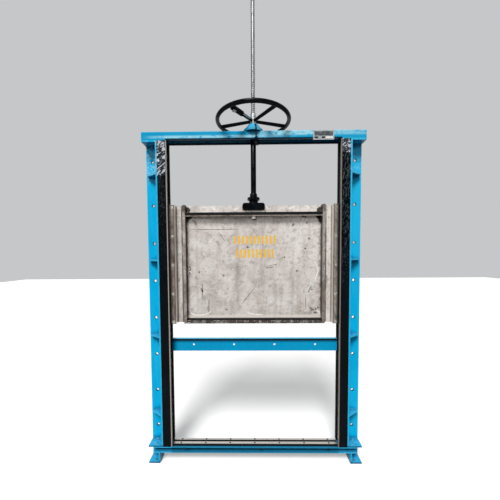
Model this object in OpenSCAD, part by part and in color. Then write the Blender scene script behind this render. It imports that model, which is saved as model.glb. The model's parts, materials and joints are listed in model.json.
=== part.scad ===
// Sluice gate in its own frame, with a rising stem and a handwheel.
// The origin is on the floor, under the stem. +Z is up, and the wall face looks along +Y.

/* [Waterway] */
// Clear width between the two wall flanges
opening_w = 1182; // [1000:2:1400]
// Height of the sill's top over the floor
sill_z = 118; // [105:1:200]
// Height of the cross member's lower edge over the floor
lintel_z = 780; // [700:5:820]

/* [Posts] */
// Depth of the frame, from its front to the wall
frame_d = 90; // [86:1:110]
// Height of the posts, from the floor to the head beam
post_h = 2237; // [2200:5:2400]
// Thickness of webs, wall flanges, gussets and top plates
plate_t = 10; // [8:0.5:12]
// Width of the wall flange on the water side of the web
flange_in = 57; // [54:1:70]
// Width of the wall flange outside the web
flange_out = 92; // [80:1:120]
// Radius of an anchor hole in the wall flange
anchor_r = 9; // [6:0.5:12]
// Distance from the web to the row of anchor holes
anchor_out = 48; // [30:1:60]
// Distance between anchor holes
anchor_pitch = 265; // [240:5:270]
// Height of the lowest anchor hole over the floor
anchor_low = 231; // [200:1:240]
// Distance from the topmost anchor hole to the head beam
anchor_top = 117; // [60:1:130]
// Height of the third anchor hole from the floor up
anchor_third = 757; // [750:1:790]
// Height of the lowest gusset over the floor
gusset_low = 343; // [300:1:380]
// Distance between the two lower gussets
gusset_low_gap = 558; // [500:2:620]
// Distance from the topmost gusset to the head beam
gusset_top = 218; // [180:1:260]
// Distance between the two upper gussets
gusset_high_gap = 585; // [500:5:640]
// Depth that a gusset keeps at its outer edge
gusset_tip = 26; // [10:1:40]
// Distance that a gusset stands back from the flange's outer edge
gusset_set = 14; // [0:1:30]

/* [Feet] */
// Thickness of a foot plate
foot_t = 10; // [8:1:15]
// Thickness of a base plate
base_t = 10; // [8:1:16]
// Distance that the foot's upright stands outside the web's inner face
foot_step = 22; // [12:1:30]
// Distance from the sill's end to the frame's outer edge
sill_in = 37; // [20:1:50]
// Radius of a hole in a foot plate
foot_hole_r = 7; // [4:0.5:9]
// Distance from the web to the holes in the foot plate
foot_hole_out = 46; // [40:1:60]
// Distance between the two holes in a foot plate
foot_hole_pitch = 40; // [30:1:42]
// Distance from the front of the foot plate to its first hole
foot_hole_front = 23; // [15:1:25]

/* [Head beam] */
// Height of the head beam
beam_h = 56; // [45:1:80]
// Thickness of the head beam's steel
beam_t = 8; // [5:0.5:10]
// Radius of the round corners of rolled channels
roll_r = 5; // [2:0.5:8]

/* [Guides and seals] */
// Thickness of the front guide bar
guide_t = 12; // [8:1:16]
// Width of the front guide bar
guide_w = 64; // [45:1:66]
// Thickness of the clamp bars and of the rubber
seal_t = 8; // [6:0.5:10]
// Width of the clamp bar on the wall flange
jamb_bar_w = 18; // [12:1:22]
// Width of the rubber beside the clamp bar
jamb_seal_w = 9; // [7:1:14]
// Thickness of the rubber's lip over the edge of the wall flange
lip_t = 3; // [2:0.5:5]
// Gap between the moving leaf and the guide, the seals and the sill
run_gap = 5; // [5:0.5:8]

/* [Sill] */
// Height of the sill channel
sill_h = 43; // [35:1:60]
// Thickness of the sill's steel
sill_t = 7; // [5:0.5:9]
// Distance from the front of the frame to the rubber on the sill
sill_lip = 11; // [8:1:14]
// Width of the front rubber strip on the sill
sill_edge_w = 12; // [8:1:14]
// Width of the two clamp bars on the sill
sill_bar_w = 22; // [16:1:23]
// Width of the rubber between the clamp bars
sill_seal_w = 18; // [12:1:19]

/* [Cross member] */
// Height of the cross member
lintel_h = 92; // [70:1:110]
// Thickness of the cross member's steel
lintel_t = 7; // [5:0.5:9]
// Radius of its anchor holes
lintel_hole_r = 7; // [4:0.5:10]
// Distance between its anchor holes
lintel_hole_pitch = 291; // [250:1:320]
// Height of the rubber strip along its top
lintel_seal_h = 8; // [5:1:12]
// Thickness of that rubber strip
lintel_seal_t = 2.5; // [1:0.5:4]

/* [Leaf] */
// Height of the leaf's lower edge over the floor, when it is open
leaf_z = 992; // [970:2:1030]
// Height of the leaf
leaf_h = 820; // [760:5:860]
// Thickness of the leaf's skin plate
skin_t = 5; // [3:0.5:8]
// Gap between the leaf's side edge and the web
side_gap = 8; // [5:1:12]
// Width of the slide bar that shows beside the retainer
slide_w = 67; // [50:1:70]
// Width of the bolted retainer strip
retainer_w = 30; // [24:1:45]
// Thickness of the retainer strip
retainer_t = 8; // [5:0.5:10]
// Width of bare skin between the retainer and the rib
margin_w = 55; // [20:1:70]
// Width of a side rib
rib_w = 18; // [16:1:40]
// Distance that the ribs and edge members stand back from the leaf's front
rib_set = 5; // [2:0.5:10]
// Thickness of the steel in ribs and edge members
rib_t = 5; // [4:0.5:6]
// Height of the bottom member
member_h = 24; // [18:1:45]
// Thickness of the shelf that the stem block stands on
shelf_t = 11; // [8:1:14]
// Height of the skin above the shelf
upstand_h = 55; // [30:1:80]

/* [Stem] */
// Radius of the stem's smooth part
stem_r = 18.5; // [14:0.5:22]
// Radius of the stem's threaded part
thread_r = 14; // [10:0.5:14]
// Gap between the stem and what it passes through
stem_gap = 1.5; // [1:0.1:3]
// Length of thread above the wheel nut when the gate is closed
stem_spare = 20; // [5:1:60]
// Width of the block that holds the stem on the leaf
block_w = 152; // [110:2:200]
// Thickness of the pad under the block
pad_t = 9; // [4:0.5:12]
// Height of the block over the skin's top edge
block_rise = 2; // [1:0.5:10]
// Radius of the block's rounded corners
block_round = 14; // [4:1:20]
// Distance that the block stands out in front of the leaf
block_out = 6; // [2:0.5:10]
// Radius of the boss on the block
boss_r = 32; // [28:0.5:40]
// Height of the boss on the block
boss_h = 74; // [60:1:100]
// Radius of the collar round the boss
collar_r = 42; // [41:0.5:50]
// Height of the collar
collar_h = 18; // [10:1:24]
// Height of the collar's underside over the block
collar_z = 27; // [5:1:30]
// Radius of the nut under the shelf
stem_nut_r = 16; // [13:0.5:20]
// Height of the nut under the shelf
stem_nut_h = 30; // [10:1:40]

/* [Pedestal and handwheel] */
// Radius of the pedestal's flange
flange_r = 66; // [65:1:80]
// Thickness of the pedestal's flange
flange_t = 16; // [8:1:20]
// Height of the pedestal
pedestal_h = 52; // [45:1:80]
// Radius of the pedestal's top
pedestal_top_r = 34; // [30:0.5:42]
// Radius of the pedestal where its cone meets the flange
pedestal_low_r = 62; // [50:0.5:64]
// Radius of the rim's middle line
wheel_r = 241; // [200:1:280]
// Radius of the rim's round bar
rim_r = 13.5; // [10:0.5:18]
// Height of the wheel's middle plane over the pedestal
wheel_rise = 28; // [22:1:40]
// Number of spokes
spokes = 5; // [3:1:6]
// Radius of a spoke at the middle
spoke_r_in = 10; // [8:0.5:12]
// Radius of a spoke at the rim
spoke_r_out = 12.5; // [8:0.5:13]
// Radius of the thicker length on one spoke
grip_r = 17; // [13:0.5:20]
// Length of that thicker part
grip_l = 95; // [40:5:110]
// Distance from the stem to the start of that thicker part
grip_start = 122; // [80:1:125]
// Radius of the bright sleeve nut that the spokes stand on
nut_r = 20; // [17:0.5:26]
// Height of the bright sleeve nut
nut_h = 75; // [62:1:90]

/* [Lock chain] */
// Radius of the lock chain
chain_r = 5; // [3:0.5:6]
// Angle of the chain from the front, seen from above
chain_turn = 15; // [-40:5:40]
// Distance from the beam's top to the top of the padlock's shackle
lock_drop = 50; // [30:2:90]
// Width of the padlock's body
lock_w = 34; // [26:1:40]
// Height of the padlock's body
lock_h = 34; // [20:1:40]
// Depth of the padlock's body
lock_d = 16; // [10:1:20]
// Radius of the shackle's bar
shackle_r = 3; // [2:0.5:4]
// Radius of the shackle's bend
shackle_bend = 9; // [7:0.5:9]

/* [Name plate] */
// Width of the bare plate on the head beam
tag_w = 138; // [80:1:200]
// Height of the bare plate
tag_h = 62; // [30:1:70]
// Distance from the beam's end to the middle of the plate
tag_in = 284; // [200:2:400]
// Thickness of the plate
tag_t = 1.5; // [1:0.5:3]
// Distance that the plate hangs below the beam
tag_drop = 8; // [0:1:20]

/* [Hidden] */
$fn = 64;
eps = 0.01;
seat = 0.3;

// Places across the frame, from the middle outwards
flange_x0 = opening_w / 2;
web_x0 = flange_x0 + flange_in;
web_x1 = web_x0 + plate_t;
frame_x = web_x1 + flange_out;
tag_x = frame_x - tag_in;
guide_x0 = web_x0 - guide_w;
anchor_x = web_x1 + anchor_out;
foot_hole_x = web_x1 + foot_hole_out;
leg_x0 = web_x0 + foot_step;
leg_x1 = leg_x0 + plate_t;
sill_x = frame_x - sill_in;

// Places through the frame: the leaf is centred on the stem
leaf_d = frame_d - guide_t - plate_t - seal_t - 2 * run_gap;
leaf_front = -leaf_d / 2;
leaf_back = leaf_d / 2;
front_y = leaf_front - run_gap - guide_t;
wall_y = front_y + frame_d;
flange_y = wall_y - plate_t;
seal_y = flange_y - seal_t;
skin_y = leaf_back - skin_t;
rib_y = leaf_front + rib_set;

// Heights
beam_top = post_h + beam_h;
top_plate_z = post_h - plate_t;
sill_low = sill_z - sill_h;
seal_top = sill_z + seal_t;
leaf_top = leaf_z + leaf_h;
shelf_z = leaf_top - upstand_h;
shelf_low = shelf_z - shelf_t;
travel = leaf_z - seal_top - run_gap;
block_z = shelf_z + pad_t;
block_top = leaf_top + block_rise;
boss_top = block_top + boss_h;
hub_z = beam_top + pedestal_h + seat;
nut_top = hub_z + nut_h;
wheel_z = hub_z + wheel_rise;
stem_top = nut_top + travel + stem_spare;
thread_z = beam_top + flange_t;

// Lock chain: distance from the stem and height of each bend
chain_off = chain_r + seat;
chain_start = 12;
chain_bulge = 0.1;
cone_slope = (pedestal_low_r - pedestal_top_r) / (pedestal_h - flange_t);
cone_off = chain_off * sqrt(1 + cone_slope * cone_slope);
chain_edge = flange_r + chain_off;
lock_top = beam_top - lock_drop;
chain_path = [
    [pedestal_top_r + chain_start * cone_slope + cone_off, beam_top + pedestal_h - chain_start],
    [chain_edge, thread_z + chain_off],
    [chain_edge, lock_top + seat]
];

// Places across the leaf, from the middle outwards
leaf_x = web_x0 - side_gap;
slide_x = leaf_x - slide_w;
tongue_x = slide_x - retainer_w;
rib_x1 = tongue_x - margin_w;
rib_x0 = rib_x1 - rib_w;

anchor_levels = [
    anchor_low,
    anchor_third - anchor_pitch,
    for (i = [0 : 4]) anchor_third + i * anchor_pitch,
    post_h - anchor_top
];
gusset_high = post_h - gusset_top;
gusset_levels = [gusset_low, gusset_low + gusset_low_gap, gusset_high - gusset_high_gap, gusset_high];

steel_blue = "#2aa7df";
guide_black = "#17181b";
stainless = "#b9b5aa";
rubber_black = "#202020";
cast_black = "#1b1b1d";

// A block between two corners
module block(low, high) {
    translate(low)
        cube(high - low);
}

// The same piece on the left or on the right
module on_side(side) {
    if (side == "left")
        mirror([1, 0, 0])
            children();
    else
        children();
}

// Outline in Y and Z, drawn out along X between -half and half
module along_x(half) {
    translate([-half, 0, 0])
        rotate([90, 0, 90])
            linear_extrude(2 * half)
                children();
}

// Rolled channel outline: open below, h high, d deep, t thick, from y0 with its top at z1
module channel_outline(y0, d, z1, h, t, r) {
    difference() {
        union() {
            translate([y0, z1 - h])
                square([d, h - r]);
            translate([y0 + r, z1 - h])
                square([d - 2 * r, h]);
            for (y = [y0 + r, y0 + d - r])
                translate([y, z1 - r])
                    circle(r);
        }
        translate([y0 + t, z1 - h - 1])
            square([d - 2 * t, h - t + 1]);
    }
}

module web(side) {
    color(steel_blue)
        on_side(side)
            block([web_x0, front_y, sill_z], [web_x1, flange_y, post_h]);
}

module wall_flange(side) {
    color(steel_blue)
        on_side(side)
            difference() {
                block([flange_x0, flange_y, 0], [frame_x, wall_y, post_h]);
                block([flange_x0 - 1, flange_y - 1, -1], [leg_x0, wall_y + 1, sill_low]);
                for (z = anchor_levels)
                    translate([anchor_x, flange_y - 1, z])
                        rotate([-90, 0, 0])
                            cylinder(h = plate_t + 2, r = anchor_r);
            }
}

// Four plates with a slanted front edge, between the web and the wall flange
module gussets(side) {
    color(steel_blue)
        on_side(side)
            for (z = gusset_levels)
                translate([0, 0, z - plate_t / 2])
                    linear_extrude(plate_t)
                        polygon([
                            [web_x1, front_y],
                            [frame_x - gusset_set, flange_y - gusset_tip],
                            [frame_x - gusset_set, flange_y],
                            [web_x1, flange_y]
                        ]);
}

module top_plate(side) {
    color(steel_blue)
        on_side(side)
            block([web_x1, front_y, top_plate_z], [frame_x, flange_y, post_h]);
}

module base_plate(side) {
    color(steel_blue)
        on_side(side)
            difference() {
                block([web_x1, front_y, sill_z], [frame_x, flange_y, sill_z + base_t]);
                foot_holes(sill_z, base_t);
            }
}

// Foot plate on the floor, with an upright that carries the sill's end
module foot_plate(side) {
    color(steel_blue)
        on_side(side)
            difference() {
                block([leg_x0, front_y, 0], [frame_x, flange_y, sill_low]);
                block([leg_x1, front_y - 1, foot_t], [frame_x + 1, flange_y + 1, sill_low + 1]);
                foot_holes(0, foot_t);
            }
}

module foot_holes(z, t) {
    for (y = [0, foot_hole_pitch])
        translate([foot_hole_x, front_y + foot_hole_front + y, z - 1])
            cylinder(h = t + 2, r = foot_hole_r);
}

module guide_bar(side) {
    color(guide_black)
        on_side(side)
            block([guide_x0, front_y, sill_z], [web_x0, front_y + guide_t, post_h]);
}

module jamb_clamp_bar(side) {
    color(stainless)
        on_side(side)
            block(
                [flange_x0 + jamb_seal_w, seal_y, seal_top],
                [flange_x0 + jamb_seal_w + jamb_bar_w, flange_y, post_h]
            );
}

// Rubber strip with a lip over the flange's edge, left out where the cross member is welded on
module jamb_seal(side) {
    color(rubber_black)
        on_side(side)
            difference() {
                block([flange_x0 - lip_t, seal_y, seal_top], [flange_x0 + jamb_seal_w, wall_y, post_h]);
                block(
                    [flange_x0, flange_y, seal_top - 1],
                    [flange_x0 + jamb_seal_w + 1, wall_y + 1, post_h + 1]
                );
                block(
                    [flange_x0 - lip_t - 1, seal_y - 1, lintel_z],
                    [flange_x0, wall_y + 1, lintel_z + lintel_h]
                );
            }
}

module head_beam() {
    color(steel_blue)
        difference() {
            along_x(frame_x)
                channel_outline(front_y, frame_d, beam_top, beam_h, beam_t, roll_r);
            translate([0, 0, post_h - 1])
                cylinder(h = beam_h + 2, r = stem_r + stem_gap);
        }
}

// An angle that lies against the wall, with its upper leg turned back
module cross_member() {
    face_y = seal_y + lintel_seal_t;
    color(steel_blue)
        difference() {
            union() {
                along_x(flange_x0)
                    translate([face_y, lintel_z])
                        square([lintel_t, lintel_h]);
                along_x(flange_x0)
                    translate([face_y, lintel_z + lintel_h - lintel_t])
                        square([wall_y - face_y, lintel_t]);
            }
            for (i = [-1.5 : 1 : 1.5])
                translate([i * lintel_hole_pitch, face_y - 1, lintel_z + lintel_h / 2])
                    rotate([-90, 0, 0])
                        cylinder(h = lintel_t + 2, r = lintel_hole_r);
        }
}

module cross_member_seal() {
    color(rubber_black)
        along_x(flange_x0)
            translate([seal_y, lintel_z + lintel_h - lintel_t - lintel_seal_h])
                square([lintel_seal_t, lintel_seal_h]);
}

// Channel with its web against the wall side, open to the front
module sill() {
    color(steel_blue)
        along_x(sill_x)
            difference() {
                translate([front_y, sill_low])
                    square([flange_y - front_y, sill_h]);
                for (z = [sill_low + sill_t + roll_r, sill_z - sill_t - roll_r])
                    translate([flange_y - sill_t - roll_r, z])
                        circle(roll_r);
                translate([front_y - 1, sill_low + sill_t])
                    square([flange_y - front_y - sill_t - roll_r + 1, sill_h - 2 * sill_t]);
                translate([front_y - 1, sill_low + sill_t + roll_r])
                    square([flange_y - front_y - sill_t + 1, sill_h - 2 * sill_t - 2 * roll_r]);
            }
}

module sill_clamp_bars() {
    y0 = front_y + sill_lip + sill_edge_w;
    y1 = y0 + sill_bar_w + sill_seal_w;
    color(stainless)
        for (y = [y0, y1])
            block([-guide_x0, y, sill_z], [guide_x0, min(y + sill_bar_w, flange_y), seal_top]);
}

module sill_seal() {
    y0 = front_y + sill_lip;
    y1 = y0 + sill_edge_w + sill_bar_w;
    color(rubber_black) {
        block([-guide_x0, y0, sill_z], [guide_x0, y0 + sill_edge_w, seal_top]);
        block([-guide_x0, y1, sill_z], [guide_x0, y1 + sill_seal_w, seal_top]);
    }
}

module pedestal() {
    color(steel_blue)
        translate([0, 0, beam_top])
            difference() {
                union() {
                    cylinder(h = flange_t, r = flange_r);
                    translate([0, 0, flange_t])
                        cylinder(h = pedestal_h - flange_t, r1 = pedestal_low_r, r2 = pedestal_top_r);
                }
                translate([0, 0, -1])
                    cylinder(h = pedestal_h + 2, r = stem_r + stem_gap);
            }
}

// Chain that lies on the pedestal and hangs over the edge of its flange
module lock_chain() {
    color(cast_black)
        rotate([0, 0, chain_turn - 90])
            for (i = [1 : len(chain_path) - 1])
                chain_length(chain_path[i - 1], chain_path[i]);
}

module chain_length(a, b) {
    d = b - a;
    translate([a[0], 0, a[1]]) {
        sphere(r = chain_r + chain_bulge);
        rotate([0, atan2(d[0], d[1]), 0])
            cylinder(h = norm(d), r = chain_r);
    }
}

module padlock() {
    color(cast_black)
        translate([chain_edge * sin(chain_turn), -chain_edge * cos(chain_turn), 0]) {
            bend_z = lock_top - shackle_bend - shackle_r;
            translate([0, 0, bend_z])
                rotate([90, 0, 0])
                    rotate_extrude(angle = 180)
                        translate([shackle_bend, 0])
                            circle(shackle_r);
            for (x = [-shackle_bend, shackle_bend])
                translate([x, 0, bend_z - 2 * shackle_bend])
                    cylinder(h = 2 * shackle_bend, r = shackle_r);
            block(
                [-lock_w / 2, -lock_d / 2, bend_z - shackle_bend - lock_h],
                [lock_w / 2, lock_d / 2, bend_z - shackle_bend]
            );
        }
}

module bare_plate() {
    color("#8d9194")
        block(
            [tag_x - tag_w / 2, front_y - tag_t, post_h - tag_drop],
            [tag_x + tag_w / 2, front_y, post_h - tag_drop + tag_h]
        );
}

module leaf_skin() {
    color(stainless)
        block([-leaf_x, skin_y, leaf_z], [leaf_x, leaf_back, leaf_top]);
}

// Shelf between the ribs, that the stem block stands on
module leaf_top_member() {
    color(stainless)
        difference() {
            block([-rib_x0, rib_y, shelf_low], [rib_x0, skin_y, shelf_z]);
            translate([0, 0, shelf_low - 1])
                cylinder(h = shelf_t + 2, r = thread_r + seat);
        }
}

// Folded channel between the ribs, open to the back
module leaf_bottom_member() {
    color(stainless)
        along_x(rib_x0)
            difference() {
                translate([rib_y, leaf_z])
                    square([skin_y - rib_y, member_h]);
                translate([rib_y + rib_t, leaf_z + rib_t])
                    square([skin_y - rib_y, member_h - 2 * rib_t]);
            }
}

// Folded channel, open to the back, over the whole height of the leaf
module rib(side) {
    color(stainless)
        on_side(side)
            translate([0, 0, leaf_z])
                linear_extrude(leaf_h)
                    difference() {
                        translate([rib_x0, rib_y])
                            square([rib_w, skin_y - rib_y]);
                        translate([rib_x0 + rib_t, rib_y + rib_t])
                            square([rib_w - 2 * rib_t, skin_y - rib_y]);
                    }
}

module retainer(side) {
    color("#6f6358")
        on_side(side)
            block([tongue_x, leaf_front, leaf_z], [slide_x, leaf_front + retainer_t, leaf_top]);
}

// Slide bar with a tongue that the retainer holds down
module slide_bar(side) {
    color(guide_black)
        on_side(side)
            translate([0, 0, leaf_z])
                linear_extrude(leaf_h)
                    polygon([
                        [slide_x, leaf_front],
                        [leaf_x, leaf_front],
                        [leaf_x, skin_y],
                        [tongue_x, skin_y],
                        [tongue_x, leaf_front + retainer_t],
                        [slide_x, leaf_front + retainer_t]
                    ]);
}

// Front view of the block: a bar with four rounded corners
module block_outline() {
    translate([-block_w / 2, block_z + block_round])
        square([block_w, block_top - block_z - 2 * block_round]);
    translate([-block_w / 2 + block_round, shelf_z])
        square([block_w - 2 * block_round, block_top - shelf_z]);
    for (x = [-1, 1], z = [block_z + block_round, block_top - block_round])
        translate([x * (block_w / 2 - block_round), z])
            circle(block_round);
}

module stem_block() {
    color(cast_black)
        difference() {
            union() {
                block(
                    [-block_w / 2, leaf_front - block_out, shelf_z],
                    [block_w / 2, skin_y - seat, block_z]
                );
                translate([0, skin_y - seat, 0])
                    rotate([90, 0, 0])
                        linear_extrude(skin_y - seat - leaf_front + block_out)
                            block_outline();
                translate([0, 0, block_top - block_rise / 2])
                    cylinder(h = boss_h + block_rise / 2, r = boss_r);
            }
            translate([0, 0, shelf_z - 1])
                cylinder(h = block_z - shelf_z + 1 + eps, r = thread_r + seat);
            translate([0, 0, block_z])
                cylinder(h = boss_top - block_z + 1, r = stem_r + seat);
        }
}

module stem_collar() {
    color(cast_black)
        translate([0, 0, block_top + collar_z])
            difference() {
                cylinder(h = collar_h, r = collar_r);
                translate([0, 0, -1])
                    cylinder(h = collar_h + 2, r = boss_r + seat);
            }
}

module stem() {
    color(stainless)
        union() {
            translate([0, 0, shelf_low - stem_nut_h])
                cylinder(h = stem_top - shelf_low + stem_nut_h, r = thread_r);
            translate([0, 0, block_z])
                cylinder(h = thread_z - block_z, r = stem_r);
        }
}

module stem_foot_nut() {
    color(stainless)
        translate([0, 0, shelf_low - stem_nut_h])
            difference() {
                cylinder(h = stem_nut_h, r = stem_nut_r);
                translate([0, 0, -1])
                    cylinder(h = stem_nut_h + 2, r = thread_r + seat);
            }
}

// One piece: rim, spokes and a thicker length on one spoke, bored for the sleeve nut
module handwheel() {
    color(cast_black)
        difference() {
            union() {
                translate([0, 0, wheel_z])
                    rotate_extrude($fn = 96)
                        translate([wheel_r, 0])
                            circle(rim_r);
                for (i = [0 : spokes - 1])
                    rotate([0, 0, 90 + i * 360 / spokes])
                        translate([0, 0, wheel_z])
                            rotate([0, 90, 0])
                                cylinder(h = wheel_r, r1 = spoke_r_in, r2 = spoke_r_out);
                rotate([0, 0, 90 + 2 * 360 / spokes])
                    translate([grip_start, 0, wheel_z])
                        rotate([0, 90, 0])
                            cylinder(h = grip_l, r = grip_r);
            }
            translate([0, 0, hub_z])
                cylinder(h = nut_h, r = nut_r + seat);
        }
}

module wheel_nut() {
    color(stainless)
        translate([0, 0, hub_z])
            difference() {
                cylinder(h = nut_h, r = nut_r);
                translate([0, 0, -1])
                    cylinder(h = nut_h + 2, r = thread_r + seat);
            }
}

web("left");  // left_web
web("right");  // right_web
wall_flange("left");  // left_wall_flange
wall_flange("right");  // right_wall_flange
gussets("left");  // left_gussets
gussets("right");  // right_gussets
top_plate("left");  // left_top_plate
top_plate("right");  // right_top_plate
base_plate("left");  // left_base_plate
base_plate("right");  // right_base_plate
foot_plate("left");  // left_foot_plate
foot_plate("right");  // right_foot_plate
guide_bar("left");  // left_guide_bar
guide_bar("right");  // right_guide_bar
jamb_clamp_bar("left");  // left_jamb_clamp_bar
jamb_clamp_bar("right");  // right_jamb_clamp_bar
jamb_seal("left");  // left_jamb_seal
jamb_seal("right");  // right_jamb_seal
head_beam();
cross_member();
cross_member_seal();
sill();
sill_clamp_bars();
sill_seal();
pedestal();
bare_plate();
lock_chain();
padlock();
leaf_skin();
leaf_top_member();
leaf_bottom_member();
rib("left");  // left_rib
rib("right");  // right_rib
retainer("left");  // left_retainer
retainer("right");  // right_retainer
slide_bar("left");  // left_slide_bar
slide_bar("right");  // right_slide_bar
stem_block();
stem_collar();
stem();
stem_foot_nut();
handwheel();
wheel_nut();
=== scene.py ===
"""Sluice gate in sky blue enamel, with a raised stainless leaf, a screw stem and a black handwheel.

Metres, +Z up, -Y is the front and +Y the wall side. The origin is on the floor under the stem.
"""

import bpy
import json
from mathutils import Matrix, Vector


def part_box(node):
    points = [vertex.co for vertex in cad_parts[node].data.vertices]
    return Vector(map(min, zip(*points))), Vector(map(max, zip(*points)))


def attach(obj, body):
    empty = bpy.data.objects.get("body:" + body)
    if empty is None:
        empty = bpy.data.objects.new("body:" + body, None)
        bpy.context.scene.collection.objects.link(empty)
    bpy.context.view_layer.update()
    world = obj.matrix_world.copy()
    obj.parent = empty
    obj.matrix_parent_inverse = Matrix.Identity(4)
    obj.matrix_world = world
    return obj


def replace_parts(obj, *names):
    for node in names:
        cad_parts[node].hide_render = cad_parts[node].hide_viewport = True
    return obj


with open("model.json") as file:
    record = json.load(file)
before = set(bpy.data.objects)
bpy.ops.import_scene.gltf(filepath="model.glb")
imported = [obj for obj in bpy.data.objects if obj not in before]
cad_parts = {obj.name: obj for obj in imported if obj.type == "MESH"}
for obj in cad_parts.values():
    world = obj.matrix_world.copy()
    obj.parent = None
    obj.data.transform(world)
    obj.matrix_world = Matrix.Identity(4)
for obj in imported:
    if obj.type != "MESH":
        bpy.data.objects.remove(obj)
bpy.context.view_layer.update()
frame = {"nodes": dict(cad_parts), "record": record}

import json
from math import ceil, cos, pi, radians, sin

import bmesh
import bpy
from mathutils import Matrix, Vector, noise

MM = 0.001
UP = Vector((0, 0, 1))
FRONT = Vector((0, -1, 0))


# -------------------- materials

def linear(code):
    """An sRGB hex colour as linear RGBA."""
    parts = [int(code[i:i + 2], 16) / 255 for i in (1, 3, 5)]
    return [c / 12.92 if c <= 0.04045 else ((c + 0.055) / 1.055) ** 2.4 for c in parts] + [1.0]


def put(tree, kind, inputs=None, out=0, **settings):
    """Add a node with its settings and links, and hand back the socket it is used by."""
    node = tree.nodes.new("ShaderNode" + kind)
    for key, value in settings.items():
        setattr(node, key, value)
    for key, value in (inputs or {}).items():
        if isinstance(value, bpy.types.NodeSocket):
            tree.links.new(value, node.inputs[key])
        else:
            node.inputs[key].default_value = value
    return node.outputs[out] if node.outputs else node


def blank(name):
    """A material with an empty node tree, and its object coordinates in metres."""
    material = bpy.data.materials.new(name)
    material.use_nodes = True
    tree = material.node_tree
    tree.nodes.clear()
    return material, tree, put(tree, "TexCoord", out="Object")


def spots(at, size, low, high, longer=(1, 1, 1), turn=(0, 0, 0), detail=3.0):
    """0 to 1 as a cloud of that size in metres passes from low to high; it is turned, then drawn out."""
    tree = at.id_data
    local = put(tree, "Mapping", {"Vector": at, "Rotation": turn, "Scale": longer}, vector_type="TEXTURE")
    cloud = put(tree, "TexNoise", {"Vector": local, "Scale": 1 / size, "Detail": detail})
    return put(tree, "MapRange", {"Value": cloud, "From Min": low, "From Max": high})


def scratches(at, width, tilt, drawn_out, seen):
    """Thin straight marks, tilted from the upright; the higher seen is, the fewer there are."""
    return spots(at, width, seen, seen + 0.05, longer=(1, 1, drawn_out), turn=(0, tilt, 0), detail=2)


def coats(tree, lowest, *layers):
    """Colours laid over each other; a layer is a colour and the amounts that together let it cover."""
    colour = linear(lowest)
    for code, share, *amounts in layers:
        for amount in amounts:
            share = put(tree, "Math", {0: share, 1: amount}, operation="MULTIPLY")
        colour = put(tree, "Mix", {0: share, 6: colour, 7: linear(code)}, 2, data_type="RGBA")
    return colour


def crevice(tree, reach, open_part=0.85, shut_part=0.35):
    """1 in corners that are closer than reach, 0 on open faces: the mask for painted shade."""
    free = put(tree, "AmbientOcclusion", {"Distance": reach}, "AO", samples=8)
    return put(tree, "MapRange", {"Value": free, "From Min": open_part, "From Max": shut_part})


def worn_edge(tree, reach):
    """1 along outer edges, 0 on flat faces."""
    rounded = put(tree, "Bevel", {"Radius": reach}, samples=4)
    flat = put(tree, "NewGeometry", out="Normal")
    same = put(tree, "VectorMath", {0: rounded, 1: flat}, "Value", operation="DOT_PRODUCT")
    return put(tree, "MapRange", {"Value": same, "From Min": 0.985, "From Max": 0.86})


def facing(tree, axis, least, full):
    """0 to 1 as the face's normal along an axis passes from least to full."""
    part = put(tree, "SeparateXYZ", {0: put(tree, "NewGeometry", out="Normal")}, axis)
    return put(tree, "MapRange", {"Value": part, "From Min": least, "From Max": full})


def reaches(at, axis, first, full):
    """0 to 1 as a place along an axis passes from first to full, in metres."""
    tree = at.id_data
    part = put(tree, "SeparateXYZ", {0: at}, axis)
    return put(tree, "MapRange", {"Value": part, "From Min": first, "From Max": full})


def band(at, axis, first, full, still, gone):
    """0 to 1 from first to full along an axis, and back to 0 from still to gone."""
    ends = {0: reaches(at, axis, first, full), 1: reaches(at, axis, gone, still)}
    return put(at.id_data, "Math", ends, operation="MULTIPLY")


def round_anchor_holes(at):
    """1 in the anchor holes of the wall flanges and close round them, 0 elsewhere."""
    tree = at.id_data
    mirrored = put(tree, "VectorMath", {0: at}, operation="ABSOLUTE")
    nearest = 1.0
    for mount in frame["record"]["mounts"]:
        if mount["name"].startswith("wall_anchors"):
            _, depth, middle = mount["pos_m"]
            x, apart = mount["dims"]["spacing_x_mm"] * MM / 2, mount["dims"]["spacing_y_mm"] * MM / 2
            for z in (middle - apart, middle + apart):
                away = put(tree, "VectorMath", {0: mirrored, 1: (x, depth, z)}, "Value", operation="DISTANCE")
                nearest = put(tree, "Math", {0: away, 1: nearest}, operation="MINIMUM")
    # The ring fades from 11.5 to 15 mm off the hole's middle
    return put(tree, "MapRange", {"Value": nearest, "From Min": 15 * MM, "From Max": 11.5 * MM})


def finish(material, height, depth, strength, **values):
    """The shader with its relief, and the output; hands the material back."""
    tree = material.node_tree
    relief = put(tree, "Bump", {"Height": height, "Distance": depth, "Strength": strength})
    sockets = {key.replace("_", " "): value for key, value in values.items()}
    put(tree, "OutputMaterial", {"Surface": put(tree, "BsdfPrincipled", {"Normal": relief, **sockets})})
    return material


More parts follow.
